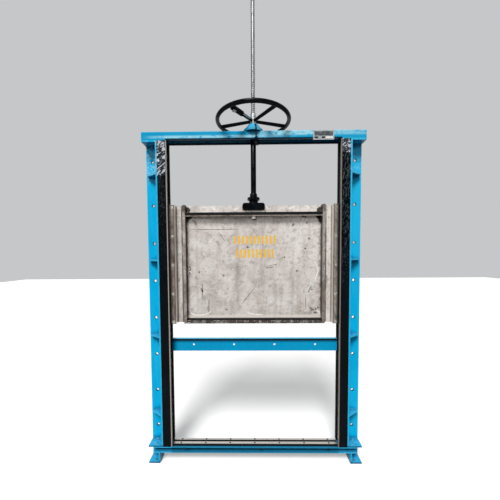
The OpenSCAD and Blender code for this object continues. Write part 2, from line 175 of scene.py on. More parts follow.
def sky_blue_enamel():
    """Enamel, sprayed thick on mild steel: saturated blue, wet gloss, pale edges, pale patches up high, and
    painted light and shade.
    """
    material, tree, at = blank("sky_blue_enamel")
    paler = spots(at, 0.16, 0.42, 0.72, detail=5)
    mottle = spots(at, 0.012, 0.3, 0.5, longer=(2.4, 1, 1), detail=6)
    crust = spots(at, 0.02, 0.44, 0.6, detail=7)
    nick = spots(at, 0.02, 0.36, 0.56, detail=5)
    front_face, up = facing(tree, "Y", -0.5, -0.9), facing(tree, "Z", 0.6, 1.0)
    between_posts = band(at, "X", -0.592, -0.589, 0.589, 0.592)
    plate_low, plate_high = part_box("right_base_plate")
    foot_thick = 10 * MM
    colour = coats(
        tree, "#02b0e2",
        ("#0cbcec", paler),
        # Faint upright streaks painted lighter, as reflections
        ("#3cc4ea", spots(at, 0.03, 0.5, 0.8, longer=(1, 1, 6)), 0.3),
        # The upper right is painted lighter, as light falling there
        ("#2cc4ee", reaches(at, "X", 0.3, 0.6), reaches(at, "Z", 1.2, 1.6), 0.5),
        # The beam's front is painted darker, as shade; a pale mottled band of lime and painted highlight
        # climbs to the right along its lower edge
        ("#1487b4", reaches(at, "Z", 2.232, 2.24), front_face, 0.5),
        ("#b4ecf8", band(at, "Z", 2.245, 2.252, 2.26, 2.27),
         band(at, "X", -0.74, -0.6, 0.0, 0.3), front_face, mottle, 0.75),
        ("#b4ecf8", reaches(at, "Z", 2.257, 2.268),
         band(at, "X", -0.05, 0.15, 0.4, 1.1), front_face, mottle, 0.8),
        # Pale mottled patches on the upper ends of the posts, more on the left
        ("#9ccfe0", band(at, "Z", 1.96, 2.04, 2.226, 2.236), reaches(at, "X", 1.6, -0.9), crust, 0.8),
        # Faces that look up are painted a darker blue, as shade
        ("#0592c2", up, 0.6),
        ("#9cc6d4", up, spots(at, 0.012, 0.4, 0.62), 0.2),
        # Painted shade in corners and recesses, a wide soft one and a close deep one
        ("#04476e", crevice(tree, 0.05, 0.9, 0.45), 0.7),
        ("#042338", crevice(tree, 0.012), 0.6),
        ("#8fd4ee", worn_edge(tree, 0.0045), nick, 0.6),
        # The front edges of the base plates and of the feet are painted dark, as shade
        *(("#04476e", band(at, "Z", low - 1.5 * MM, low, high, high + 1.5 * MM), front_face, 0.75)
          for low, high in ((plate_low.z, plate_high.z), (0.0, foot_thick))),
        # The anchor holes and a ring round them are painted near black, as shade in the holes
        ("#032a42", round_anchor_holes(at), 0.95),
        # Between the posts painted shade darkens the beam's lower corner, the cross member's top and the sill
        ("#01263c", between_posts, band(at, "Z", 2.2, 2.21, 2.246, 2.249)),
        # A painted shadow of the leaf lies across the cross member
        ("#0788b8", between_posts, band(at, "Z", 0.7, 0.75, 0.9, 0.95), 0.6),
        ("#053f5e", between_posts, band(at, "Z", 0.836, 0.856, 0.866, 0.868)),
        # A painted highlight runs along the cross member's upper edge
        ("#6cc9e6", between_posts, band(at, "Z", 0.867, 0.869, 0.88, 0.9), 0.8),
        ("#12597a", between_posts, reaches(at, "Z", 0.125, 0.12), 0.6))
    gloss = put(tree, "MapRange", {"Value": paler, "To Min": 0.22, "To Max": 0.38})
    # Orange peel of the sprayed coat: bumps about 4 mm across
    return finish(material, spots(at, 0.004, 0.2, 0.8, detail=1), 0.0002, 0.5, Base_Color=colour,
                  Roughness=gloss, Specular_IOR_Level=0.08)


def black_guide_enamel():
    """Black enamel on flat bar: deep gloss with dragged grey scratches that thin out towards the floor."""
    material, tree, at = blank("black_guide_enamel")
    upper = reaches(at, "Z", 1.2, 1.9)
    right = put(tree, "MapRange", {"Value": reaches(at, "X", -0.1, 0.1), "To Min": 0.25})
    smear = spots(at, 0.05, 0.48, 0.72, longer=(1, 1, 3))
    colour = coats(
        tree, "#010407",
        ("#0b1620", smear, 0.5),
        # Scratches are about 1 mm wide and up to 80 mm long, and are drawn coarser, 2 to 3 mm, to show
        *(("#7d868e", scratches(at, 0.0035, tilt, 18, seen), upper, right, 0.75)
          for tilt, seen in ((0.12, 0.6), (0.7, 0.65), (-0.5, 0.66))),
        ("#8b9298", spots(at, 0.009, 0.62, 0.68, detail=4), upper, right, 0.6),
        ("#42484c", worn_edge(tree, 0.002), 0.4),
        # A pale stripe about 5 mm wide is painted along the inner edges as a highlight, more on the left bar
        # than on the right
        *(("#bdb8b0", band(at, "X", 0.57 * side, 0.58 * side, 0.588 * side, 0.5905 * side), bare)
          for side, bare in ((-1, 0.85), (1, 0.5))))
    gloss = put(tree, "MapRange", {"Value": smear, "To Min": 0.2, "To Max": 0.42})
    return finish(material, spots(at, 0.03, 0.1, 0.9, longer=(1, 1, 3)), 0.0006, 0.4, Base_Color=colour,
                  Roughness=gloss, Specular_IOR_Level=0.06)


def black_cast_enamel():
    """Enamelled cast iron: near black, glossy over a soft sand-cast skin, chipped grey on edges."""
    material, tree, at = blank("black_cast_enamel")
    tone = spots(at, 0.04, 0.4, 0.7)
    colour = coats(tree, "#010204", ("#070b11", tone),
                   ("#565b5f", worn_edge(tree, 0.003), spots(at, 0.012, 0.45, 0.6), 0.6))
    gloss = put(tree, "MapRange", {"Value": tone, "To Min": 0.16, "To Max": 0.3})
    return finish(material, spots(at, 0.006, 0.2, 0.8, detail=4), 0.0004, 0.4, Base_Color=colour,
                  Roughness=gloss, Specular_IOR_Level=0.06)


def stainless_sheet(name, light, dark, stain, rolled, dark_sides=0.0):
    """Hot-rolled stainless, pickled: pale, almost matt, clouded and specked, rubbed in every direction."""
    material, tree, at = blank(name)
    cloud = spots(at, 0.12, 0.4, 0.62, detail=7)
    patch = spots(at, 0.03, 0.5, 0.66, longer=(1.5, 1, 1), turn=(0, 0.5, 0), detail=8)
    streaky = spots(at, 0.02, 0.3, 0.62, longer=(1, 1, 4), detail=5)
    rusty = spots(at, 0.025, 0.42, 0.6, detail=6)
    ragged = spots(at, 0.03, 0.2, 0.45, longer=(1, 1, 3), detail=6)
    soot = spots(at, 0.016, 0.3, 0.42, detail=5)
    # The panel between the ribs
    panel = band(at, "X", -0.472, -0.468, 0.468, 0.472)
    colour = coats(
        tree, light,
        (dark, cloud, 0.8),
        ("#e4e1df", spots(at, 0.09, 0.48, 0.68, detail=9), 0.6),
        (light, patch, 0.6),
        # The upper right of the sheet is painted lighter, as light falling there
        ("#efe8e1", reaches(at, "X", 0.05, 0.35), reaches(at, "Z", 1.2, 1.5), 0.6),
        # Of the ribs with painted side shade, the right one is browner
        ("#76685d", reaches(at, "X", 0.0, 0.1), 0.65 if dark_sides else 0.0),
        # Where coils lay on each other: soft upright bands, about 40 mm wide
        (stain, spots(at, 0.04, 0.52, 0.78, longer=(1, 1, 9), detail=4), rolled),
        (stain, spots(at, 0.028, 0.54, 0.68, detail=8), 0.45),
        # Two dirty tracks run down the panel: below the marking left of the middle, behind it on the right
        *(("#8a7f77", band(at, "X", x - 0.026, x - 0.004, x + 0.006, x + 0.03),
           band(at, "Z", *rise_and_fall), streaky, 0.6)
          for x, *rise_and_fall in ((-0.118, 1.03, 1.1, 1.38, 1.46), (0.06, 1.24, 1.34, 1.66, 1.72))),
        # Rubs are drawn 2 to 3 mm wide, coarser than real, so that they show
        *((code, scratches(at, 0.0032, tilt, 16, seen), 0.75) for tilt, code, seen in (
            (0.6, "#7a7067", 0.655), (-0.95, "#8a8178", 0.66), (0.15, "#f4f1ec", 0.66),
            (1.4, "#f1ede8", 0.65))),
        ("#5d5249", spots(at, 0.0055, 0.65, 0.71, detail=3), 0.55),
        ("#3d342c", spots(at, 0.017, 0.67, 0.73, detail=5), 0.6),
        # Rust and painted shade darken the corners of the panel
        ("#6b5546", panel, reaches(at, "Z", 1.75, 1.74), crevice(tree, 0.036, 0.9, 0.55), rusty, 0.8),
        # Painted shade, near black, in the closest corners
        ("#17110d", crevice(tree, 0.013, 0.8, 0.5), 0.95),
        # The top of the left margin is smoked brown
        ("#8d7767", reaches(at, "X", -0.49, -0.5), reaches(at, "Z", 1.7, 1.76), rusty, 0.6),
        # Dirt and painted shade lie in a ragged line along the outer side of each rib
        *(("#231912", band(at, "X", 0.495 * side, 0.499 * side, 0.505 * side, 0.509 * side), ragged, 0.85)
          for side in (-1, 1)),
        # The panel is pale along its lower edge
        ("#efe8de", panel, band(at, "Z", 1.0215, 1.023, 1.036, 1.052), 0.8),
        ("#4b4036", facing(tree, "Z", 0.6, 0.95), 0.6),
        # Faces that look sideways are painted near black, as shade on the sides of the ribs
        *(("#19120d", facing(tree, "X", 0.6 * side, 0.9 * side), dark_sides) for side in (-1, 1)),
        ("#120d0a", reaches(at, "Z", 1.755, 1.775), soot, dark_sides))
    gloss = put(tree, "MapRange", {"Value": cloud, "To Min": 0.42, "To Max": 0.6})
    return finish(material, spots(at, 0.07, 0.0, 1.0, detail=2), 0.002, 0.5, Base_Color=colour,
                  Metallic=0.25, Roughness=gloss)


def brown_stained_steel():
    """Steel strip with heat tint and drained rust: brown over grey, rough, paler where it was rubbed."""
    material, tree, at = blank("brown_stained_steel")
    colour = coats(
        tree, "#8d7f74",
        ("#4f4239", spots(at, 0.03, 0.38, 0.66, longer=(1, 1, 3), detail=6)),
        ("#3c271b", spots(at, 0.012, 0.55, 0.7, longer=(1, 1, 2.5), detail=5), 0.6),
        ("#a9a29d", reaches(at, "X", -0.1, 0.1), spots(at, 0.03, 0.3, 0.55, detail=5), 0.5),
        # Both edges of each strip are dark
        *(("#1e1713", reaches(at, "X", 0.563 * side, 0.57 * side), 0.85) for side in (-1, 1)),
        *(("#2a1f18", band(at, "X", 0.5 * side, 0.54 * side, 0.546 * side, 0.549 * side), 0.85)
          for side in (-1, 1)),
        # Painted shade in the corners
        ("#1b1410", crevice(tree, 0.012), 0.7),
        ("#c5bcb2", worn_edge(tree, 0.002), spots(at, 0.02, 0.35, 0.55), 0.6),
        ("#17110d", facing(tree, "Z", 0.6, 0.95), 0.9))
    return finish(material, spots(at, 0.003, 0.2, 0.8), 0.0002, 0.4, Base_Color=colour, Metallic=0.3,
                  Roughness=0.55)


def brushed_stainless():
    """Stainless flat bar, ground along its length: bright, with fine lines and a few dark drips."""
    material, tree, at = blank("brushed_stainless")
    lines = spots(at, 0.0012, 0.3, 0.7, longer=(1, 1, 40), detail=2)
    colour = coats(tree, "#efebe5", ("#cfc8be", lines, 0.5),
                   ("#6b5d50", spots(at, 0.014, 0.6, 0.72, detail=5), 0.6),
                   # Painted shade in the close corners
                   ("#2a221b", crevice(tree, 0.004), 0.7))
    return finish(material, lines, 0.00005, 0.5, Base_Color=colour, Metallic=0.9, Roughness=0.35)


def bright_turned_steel():
    """Cut and turned steel under old grease: grey metal, with the hollows painted almost black as shade."""
    material, tree, at = blank("bright_turned_steel")
    colour = coats(tree, "#c9cbcc", ("#6e7072", spots(at, 0.012, 0.42, 0.66, detail=4)),
                   ("#0b0a09", crevice(tree, 0.009, 0.9, 0.55), 0.95))
    # Tool marks, drawn 1 mm apart so that they show
    rings = spots(at, 0.001, 0.3, 0.7, longer=(20, 20, 1), detail=1)
    return finish(material, rings, 0.0001, 0.4, Base_Color=colour, Metallic=1.0, Roughness=0.36)


def zinc_plated_bolt():
    """Zinc-plated fastener: pale grey metal, faintly yellow, with painted shade in the recess and round the
    washer.
    """
    material, tree, at = blank("zinc_plated_bolt")
    tone = spots(at, 0.008, 0.35, 0.65)
    colour = coats(tree, "#c9c5bd", ("#8d8679", tone), ("#15110e", crevice(tree, 0.006), 0.95))
    return finish(material, tone, 0.0002, 0.3, Base_Color=colour, Metallic=0.8, Roughness=0.3)


def blackened_screw():
    """Screw with a black oxide skin, oiled and dusty: dark, half matt."""
    material, tree, at = blank("blackened_screw")
    dust = spots(at, 0.003, 0.45, 0.7)
    colour = coats(tree, "#0c0b0a", ("#4a433c", dust, 0.5))
    return finish(material, dust, 0.0001, 0.3, Base_Color=colour, Metallic=0.4, Roughness=0.5)


def seal_rubber():
    """EPDM sheet rubber, cut to strips: matt black with a faint grey bloom and a fine ground surface."""
    material, tree, at = blank("seal_rubber")
    colour = coats(tree, "#060607", ("#242526", spots(at, 0.02, 0.5, 0.75, detail=5), 0.4))
    return finish(material, spots(at, 0.0015, 0.2, 0.8), 0.0001, 0.4, Base_Color=colour, Roughness=0.7,
                  Specular_IOR_Level=0.15)


def slide_plastic():
    """Black machined polyethylene bar: waxy half gloss with milling lines along its length."""
    material, tree, at = blank("slide_plastic")
    lines = spots(at, 0.002, 0.3, 0.7, longer=(1, 1, 40), detail=2)
    colour = coats(tree, "#070809", ("#2c2e30", spots(at, 0.03, 0.55, 0.75, longer=(1, 1, 4)), 0.4))
    return finish(material, lines, 0.0001, 0.5, Base_Color=colour, Roughness=0.42, Specular_IOR_Level=0.2)


def dull_aluminium():
    """Brushed aluminium sheet gone dull: grey, with the brushing along X, water marks and a bright rim."""
    material, tree, at = blank("dull_aluminium")
    brushing = spots(at, 0.001, 0.3, 0.7, longer=(40, 1, 1), detail=2)
    water = spots(at, 0.02, 0.42, 0.62, longer=(2, 1, 1), detail=5)
    colour = coats(tree, "#9da4a8", ("#7b8286", water, 0.8), ("#d2d6d9", brushing, 0.25),
                   ("#d6dadd", worn_edge(tree, 0.004), 0.8))
    return finish(material, brushing, 0.00005, 0.5, Base_Color=colour, Metallic=0.3, Roughness=0.5)


def printed_panel():
    """Screen-printed field on the plate: dark grey ink with faint light rows, worn."""
    material, tree, at = blank("printed_panel")
    rows = spots(at, 0.004, 0.5, 0.62, longer=(6, 1, 1), detail=2)
    colour = coats(tree, "#2b3134", ("#8b9194", rows, 0.5))
    return finish(material, rows, 0.00005, 0.3, Base_Color=colour, Roughness=0.45)


def sprayed_yellow_paint():
    """Yellow marking paint, sprayed thin through a stencil: matt, uneven, with dirt showing through."""
    material, tree, at = blank("sprayed_yellow_paint")
    thin = spots(at, 0.012, 0.5, 0.68, detail=5)
    colour = coats(tree, "#fbc11c", ("#dcc48c", thin, 0.6))
    return finish(material, thin, 0.0001, 0.2, Base_Color=colour, Roughness=0.6)


def rubbed_in(name, code, least, most):
    """Lime or greasy dirt rubbed into the sheet: matt, broken up, the sheet's grey between the grains."""
    material, tree, at = blank(name)
    grain = spots(at, 0.005, 0.33, 0.62, detail=5)
    share = put(tree, "MapRange", {"Value": grain, "To Min": least, "To Max": most})
    colour = coats(tree, "#c2b9b1", (code, share))
    return finish(material, grain, 0.0001, 0.3, Base_Color=colour, Roughness=0.75)


def crumpled_film():
    """Torn polyethylene packing film stuck on the bar: clear, with creases that run aslant, painted white as
    highlights.
    """
    material, tree, at = blank("crumpled_film")
    crease = spots(at, 0.015, 0.51, 0.56, longer=(1, 1, 2.6), turn=(0, 0.85, 0), detail=3)
    fold = spots(at, 0.008, 0.6, 0.66, longer=(1, 1, 3), turn=(0, -0.6, 0), detail=3)
    white = put(tree, "Math", {0: crease, 1: fold}, operation="MAXIMUM")
    alpha = put(tree, "MapRange", {"Value": white, "To Min": 0.03, "To Max": 0.9})
    return finish(material, white, 0.0006, 0.5, Base_Color=linear("#ccd2dc"), Roughness=0.2, Alpha=alpha)


BLUE = sky_blue_enamel()
GUIDE = black_guide_enamel()
CAST = black_cast_enamel()
STAINLESS = stainless_sheet("pickled_stainless", "#d8d0c9", "#b3a9a2", "#8a8079", 0.55)
STAINED = stainless_sheet("smoked_stainless", "#9c9088", "#73665d", "#4d4139", 0.7, dark_sides=0.7)
TINTED = stainless_sheet("heat_tinted_weld", "#3d332c", "#29211b", "#1d1713", 0.6)
BROWN = brown_stained_steel()
BAR = brushed_stainless()
BRIGHT = bright_turned_steel()
ZINC = zinc_plated_bolt()
SCREW = blackened_screw()
RUBBER = seal_rubber()
PLASTIC = slide_plastic()
PLATE = dull_aluminium()
PRINT = printed_panel()
YELLOW = sprayed_yellow_paint()
LIME = rubbed_in("dried_lime", "#fdfaf4", 0.4, 1.0)
DRAG = rubbed_in("dragged_dirt", "#7b6f65", 0.2, 0.8)
SMUDGE = rubbed_in("caked_dirt", "#453a33", 0.5, 1.0)
BURNT = rubbed_in("burnt_rust", "#120b07", 0.88, 1.0)
FILM = crumpled_film()


# -------------------- mesh tools

def piece(name, mesh, body, materials, smooth=35):
    """Turn a bmesh into a piece that rides on a body."""
    bmesh.ops.recalc_face_normals(mesh, faces=mesh.faces)
    data = bpy.data.meshes.new(name)
    mesh.to_mesh(data)
    mesh.free()
    data.shade_smooth()
    data.set_sharp_from_angle(angle=radians(smooth))
    for material in materials:
        data.materials.append(material)
    thing = bpy.data.objects.new(name, data)
    bpy.context.collection.objects.link(thing)
    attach(thing, body)
    return thing


def eased(thing, width):
    """Small rounds on the sharp edges."""
    arris = thing.modifiers.new("eased_edges", "BEVEL")
    arris.width = width
    arris.segments = 2
    arris.limit_method = "ANGLE"
    arris.angle_limit = radians(40)


def skinned(mesh, rows, closed=False):
    """Faces between rings of points; the end rings are filled, unless the rows close on themselves."""
    rows = [[mesh.verts.new(point) for point in row] for row in rows]
    sides = len(rows[0])
    for lower, upper in zip(rows, rows[1:] + rows[:1] if closed else rows[1:]):
        for i in range(sides):
            mesh.faces.new((lower[i], lower[i - 1], upper[i - 1], upper[i]))
    if not closed:
        mesh.faces.new(rows[0])
        mesh.faces.new(rows[-1])


def ring(matrix, radius, height, sides, turn=0.0):
    """Points of a circle around local Z."""
    angles = (turn + 2 * pi * i / sides for i in range(sides))
    return [matrix @ Vector((radius * cos(a), radius * sin(a), height)) for a in angles]


def placed(point, axis):
    """Matrix that stands local Z on a point, along an axis."""
    return Matrix.Translation(point) @ axis.to_track_quat("Z", "Y").to_matrix().to_4x4()


def turned(mesh, profile, sides, matrix, turn=0.0):
    """A closed solid around local Z; the profile is radii and heights."""
    skinned(mesh, [ring(matrix, radius, height, sides, turn) for radius, height in profile])


def hex_bolt(mesh, point, axis, flats, turn=0.0):
    """Washer and chamfered hex head, in metric proportions from the width across flats."""
    matrix = placed(point, axis)
    washer = 0.09 * flats
    disc = ((0.98, 0), (1.02, 0.25), (1.02, 0.8), (0.96, 1))
    turned(mesh, [(width * flats, rise * washer) for width, rise in disc], 28, matrix)
    corner = flats / 3 ** 0.5
    top = washer + 0.4 * flats
    turned(mesh, [(corner, washer), (corner, top - 0.06 * flats), (0.86 * corner, top), (0.5 * corner, top),
                  (0.42 * corner, top - 0.03 * flats)], 6, matrix, turn)


def socket_screw(mesh, point, axis, radius, rise):
    """Countersunk screw with a socket, almost flush with its bar."""
    turned(mesh, [(radius, 0), (radius, 0.5 * rise), (0.9 * radius, rise), (0.5 * radius, rise),
                  (0.45 * radius, 0.1 * rise)], 24, placed(point, axis))


def along(first, last, step):
    """Points from first to last, at about that step."""
    first, last = Vector(first), Vector(last)
    count = max(2, ceil((last - first).length / step))
    return [first.lerp(last, i / count) for i in range(count + 1)]


def tube(mesh, path, radius, sides, ripple=0.0):
    """A round bar along points, with the radius rippled from ring to ring."""
    rows = []
    for i, point in enumerate(path):
        ahead = (path[min(i + 1, len(path) - 1)] - path[max(i - 1, 0)]).normalized()
        size = radius * (1 + ripple * sin(2.1 * i) + ripple * noise.noise(point * 900))
        rows.append(ring(placed(point, ahead), size, 0, sides))
    skinned(mesh, rows)


def strip(mesh, x0, x1, outline, wave=0.0, seed=1.0):
    """A closed bar along X; its outline is Y and Z, and each corner may wander a little."""
    rows = []
    for x, _, _ in along((x0, 0, 0), (x1, 0, 0), 0.01 if wave else x1 - x0):
        wander = [[wave * noise.noise(Vector((x * 45, k, start))) for start in (seed, seed + 5)]
                  for k in range(len(outline))]
        rows.append([(x, y + dy, z + dz) for (y, z), (dy, dz) in zip(outline, wander)])
    skinned(mesh, rows)


def slab(mesh, x0, x1, z0, z1, y0, y1):
    """A closed rectangular plate between two depths."""
    skinned(mesh, [[(x0, y, z0), (x1, y, z0), (x1, y, z1), (x0, y, z1)] for y in (y0, y1)])


# -------------------- frame: welds and fasteners

web_low, web_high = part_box("right_web")
flange_low, flange_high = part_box("right_wall_flange")
web_face, post_top = web_high.x, web_high.z
front, flange_face = web_low.y, flange_low.y
sides = (("left", -1), ("right", 1))
# Weld beads stand off their corner by the inset
inset, stitch_pitch = 1.2 * MM, 0.26
at_web, at_flange = web_face + inset, flange_face - inset


def levels(node):
    """Lowest and highest Z of each separate plate in a node."""
    heights = sorted({round(v.co.z, 5) for v in frame["nodes"][node].data.vertices})
    return list(zip(heights[::2], heights[1::2]))


for side, sign in sides:
    seams = bmesh.new()

    def weld(first, last):
        """A fillet bead; X is measured outwards from the middle."""
        (x0, y0, z0), (x1, y1, z1) = first, last
        tube(seams, along((sign * x0, y0, z0), (sign * x1, y1, z1), 2.6 * MM), 2.4 * MM, 8, 0.12)

    gusset_low, gusset_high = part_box(side + "_gussets")
    top_low, base_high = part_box(side + "_top_plate")[0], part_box(side + "_base_plate")[1]
    foot_low, foot_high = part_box(side + "_foot_plate")
    gusset_reach = max(abs(gusset_low.x), abs(gusset_high.x)) - 4 * MM
    plate_reach = flange_high.x - 4 * MM
    edges = [(z, reach) for low, high in levels(side + "_gussets")
             for z, reach in ((low - inset, gusset_reach), (high + inset, gusset_reach))]
    edges += [(top_low.z - inset, plate_reach), (base_high.z + inset, plate_reach)]
    for z, reach in edges:
        weld((at_web, front + 4 * MM, z), (at_web, flange_face - 2 * MM, z))
        weld((at_web, at_flange, z), (reach, at_flange, z))
    # The foot: its upright leg is welded to the sill's end and the base plate, its plate to the wall flange
    leg = min(abs(foot_low.x), abs(foot_high.x)) + 10 * MM
    foot_plate = levels(side + "_foot_plate")[0][1]
    at_leg, on_foot = leg + inset, foot_plate + inset
    weld((at_leg, at_flange, foot_plate + 6 * MM), (at_leg, at_flange, foot_high.z - 4 * MM))
    weld((leg + 4 * MM, at_flange, on_foot), (plate_reach, at_flange, on_foot))
    weld((at_leg, front + 4 * MM, on_foot), (at_leg, flange_face - 4 * MM, on_foot))
    # Stitches, 80 mm long, between the web and the wall flange
    first, last = base_high.z + 0.004, post_top - 0.014
    count = ceil((last - first) / stitch_pitch)
    for i in range(count):
        start = first + (last - first) * i / count
        weld((at_web, at_flange, start + 0.02), (at_web, at_flange, start + 0.10))
    piece(side + "_weld_seams", seams, "frame", [BLUE], 60)

    # Bolts painted over with the frame, through the base plate
    bolts = bmesh.new()
    bolt_x = sign * 0.704
    for y in (front + 23 * MM, front + 63 * MM):
        hex_bolt(bolts, Vector((bolt_x, y, base_high.z)), UP, 17 * MM, 0.3)
    piece(side + "_base_bolts", bolts, "frame", [BLUE])

    # Twelve screws hold each jamb clamp bar, the outer ones 50 mm from its ends
    screws = bmesh.new()
    bar_low, bar_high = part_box(side + "_jamb_clamp_bar")
    count, end = 12, 0.05
    for i in range(count):
        z = bar_low.z + end + i * (bar_high.z - bar_low.z - 2 * end) / (count - 1)
        socket_screw(screws, Vector(((bar_low.x + bar_high.x) / 2, bar_low.y, z)), FRONT, 4.5 * MM, 0.8 * MM)
    piece(side + "_jamb_screws", screws, "frame", [ZINC])

clamp_low, clamp_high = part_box("sill_clamp_bars")
seal_back, sill_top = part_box("sill_seal")[1].y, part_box("sill")[1].z
screws = bmesh.new()
screw_pitch = 0.176
for i in range(-3, 4):
    for y in (clamp_low.y + 11 * MM, (seal_back + clamp_high.y) / 2):
        socket_screw(screws, Vector((screw_pitch * i, y, clamp_high.z)), UP, 6 * MM, 1.2 * MM)
piece("sill_screws", screws, "frame", [SCREW])

# Three bolts under the sill's upper flange, at uneven distances
bolts = bmesh.new()
for x in (-0.487, 0.040, 0.519):
    hex_bolt(bolts, Vector((x, front + 13 * MM, sill_top - 7 * MM)), -UP, 19 * MM, 0.5)
piece("sill_bolts", bolts, "frame", [SCREW])

# The bare plate is held by four round rivets and carries plain printed fields
tag_low, tag_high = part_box("bare_plate")
rivets = bmesh.new()
for x in (tag_low.x + 4 * MM, tag_high.x - 4 * MM):
    for z in (tag_low.z + 4 * MM, tag_high.z - 4 * MM):
        dome = [(2.2 * MM, 0), (2.1 * MM, 0.6 * MM), (1.6 * MM, 1.1 * MM), (0.8 * MM, 1.4 * MM)]
        turned(rivets, dome, 16, placed(Vector((x, tag_low.y, z)), FRONT))
piece("plate_rivets", rivets, "frame", [ZINC])
fields = bmesh.new()
# In millimetres from the plate's lower left corner, with the number of the material
for x0, x1, z0, z1, ink in ((8, 130, 26, 54, 0), (8, 33, 8, 21, 1), (56, 79, 8, 21, 1), (82, 130, 9, 20, 2)):
    before = len(fields.faces)
    slab(fields, tag_low.x + x0 * MM, tag_low.x + x1 * MM, tag_low.z + z0 * MM, tag_low.z + z1 * MM,
         tag_low.y - 0.15 * MM, tag_low.y + 0.1 * MM)
    fields.faces.ensure_lookup_table()
    for face in fields.faces[before:]:
        face.material_index = ink
piece("plate_fields", fields, "frame", [PRINT, SCREW, LIME])


# -------------------- frame: packing film left on the guide bars

def film(name, x0, x1, z0, z1, seed):
    """A torn scrap of film, lifted in creases off the bar's front."""
    mesh = bmesh.new()
    row_height = 0.0035
    columns, rows = 18, ceil((z1 - z0) / row_height)
    grid = []
    for j in range(rows + 1):
        v = j / rows
        line = []
        for i in range(columns + 1):
            u = i / columns
            ragged = 0.006 * noise.noise(Vector((v * 14, seed, u)))
            x = x0 + (x1 - x0) * u + (ragged if i in (0, columns) else 0)
            slanting = noise.noise(Vector((u * 2.2 - v * rows * 0.07, u + v * rows * 0.05, seed)))
            fine = noise.noise(Vector((u * 6, v * rows * 0.12, seed * 2)))
            lift = 0.0008 + 0.0028 * abs(slanting) + 0.0012 * abs(fine)
            z = z0 + (z1 - z0) * v + (0.008 * noise.noise(Vector((u * 5, seed, 3))) if j in (0, rows) else 0)
            line.append(mesh.verts.new((x, front - lift, min(z, post_top - 0.001))))
        grid.append(line)
    for lower, upper in zip(grid, grid[1:]):
        for i in range(columns):
            mesh.faces.new((lower[i], lower[i + 1], upper[i + 1], upper[i]))
    piece(name, mesh, "frame", [FILM], 180)


bar_low, bar_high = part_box("left_guide_bar")
film("left_film_scrap", bar_low.x + 1 * MM, bar_high.x - 8 * MM, 2.006, post_top - 0.004, 3.0)
bar_low, bar_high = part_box("right_guide_bar")
film("right_film_scrap", bar_low.x + 8 * MM, bar_high.x - 2 * MM, 2.148, post_top - 0.004, 8.0)


# -------------------- frame: lock chain

lock_low, lock_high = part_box("padlock")


def chain():
    """Short welded links down the pedestal and off its foot, each turned a quarter from the last."""
    mesh = bmesh.new()
    turn = radians(15)
    outwards = Vector((sin(turn), -cos(turn), 0))
    across = Vector((cos(turn), sin(turn), 0))
    # Distance from the stem and height of the chain's bends
    bends = ((0.05005, 2.333), (0.0713, 2.3143), (0.0713, lock_high.z + 0.5 * MM))
    corners = [outwards * away + UP * z for away, z in bends]
    stations, carried = [], 0.0
    # A link: two straights with a round end at each, in round wire
    pitch, straight, end, wire = 10.8 * MM, 3.0 * MM, 3.7 * MM, 1.3 * MM
    round_wire = [2 * pi * j / 8 for j in range(8)]
    for a, b in zip(corners, corners[1:]):
        length = (b - a).length
        while carried <= length:
            stations.append((a.lerp(b, carried / length), (b - a).normalized()))
            carried += pitch
        carried -= length
    for i, (centre, ahead) in enumerate(stations):
        wide = across if i % 2 else ahead.cross(across).normalized()
        normal = ahead.cross(wide)
        rows = []
        for k in range(20):
            a = 2 * pi * (k + 0.5) / 20
            lengthwise = end * cos(a) + straight * (1 if cos(a) > 0 else -1)
            point = centre + ahead * lengthwise + wide * end * sin(a)
            out = (ahead * cos(a) + wide * sin(a)).normalized()
            rows.append([point + wire * (out * cos(b) + normal * sin(b)) for b in round_wire])
        skinned(mesh, rows, closed=True)
    return piece("chain_links", mesh, "frame", [CAST], 60)


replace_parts(chain(), "lock_chain")

# The core of the padlock, in its front
core = bmesh.new()
profile = [(5 * MM, 0), (5 * MM, 0.9 * MM), (4.2 * MM, 1.3 * MM), (2.2 * MM, 1.3 * MM), (1.8 * MM, 0.3 * MM)]
middle = Vector(((lock_low.x + lock_high.x) / 2, lock_low.y, lock_low.z + 11 * MM))
turned(core, profile, 24, placed(middle, FRONT))
piece("padlock_core", core, "frame", [SCREW])


# -------------------- leaf: stem with its thread, block and collar

stem_low, stem_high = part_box("stem")
skin_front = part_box("leaf_skin")[0].y
block_low, block_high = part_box("stem_block")
collar_low, collar_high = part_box("stem_collar")
shelf_low, shelf_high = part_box("leaf_top_member")
pedestal_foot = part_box("pedestal")[0].z


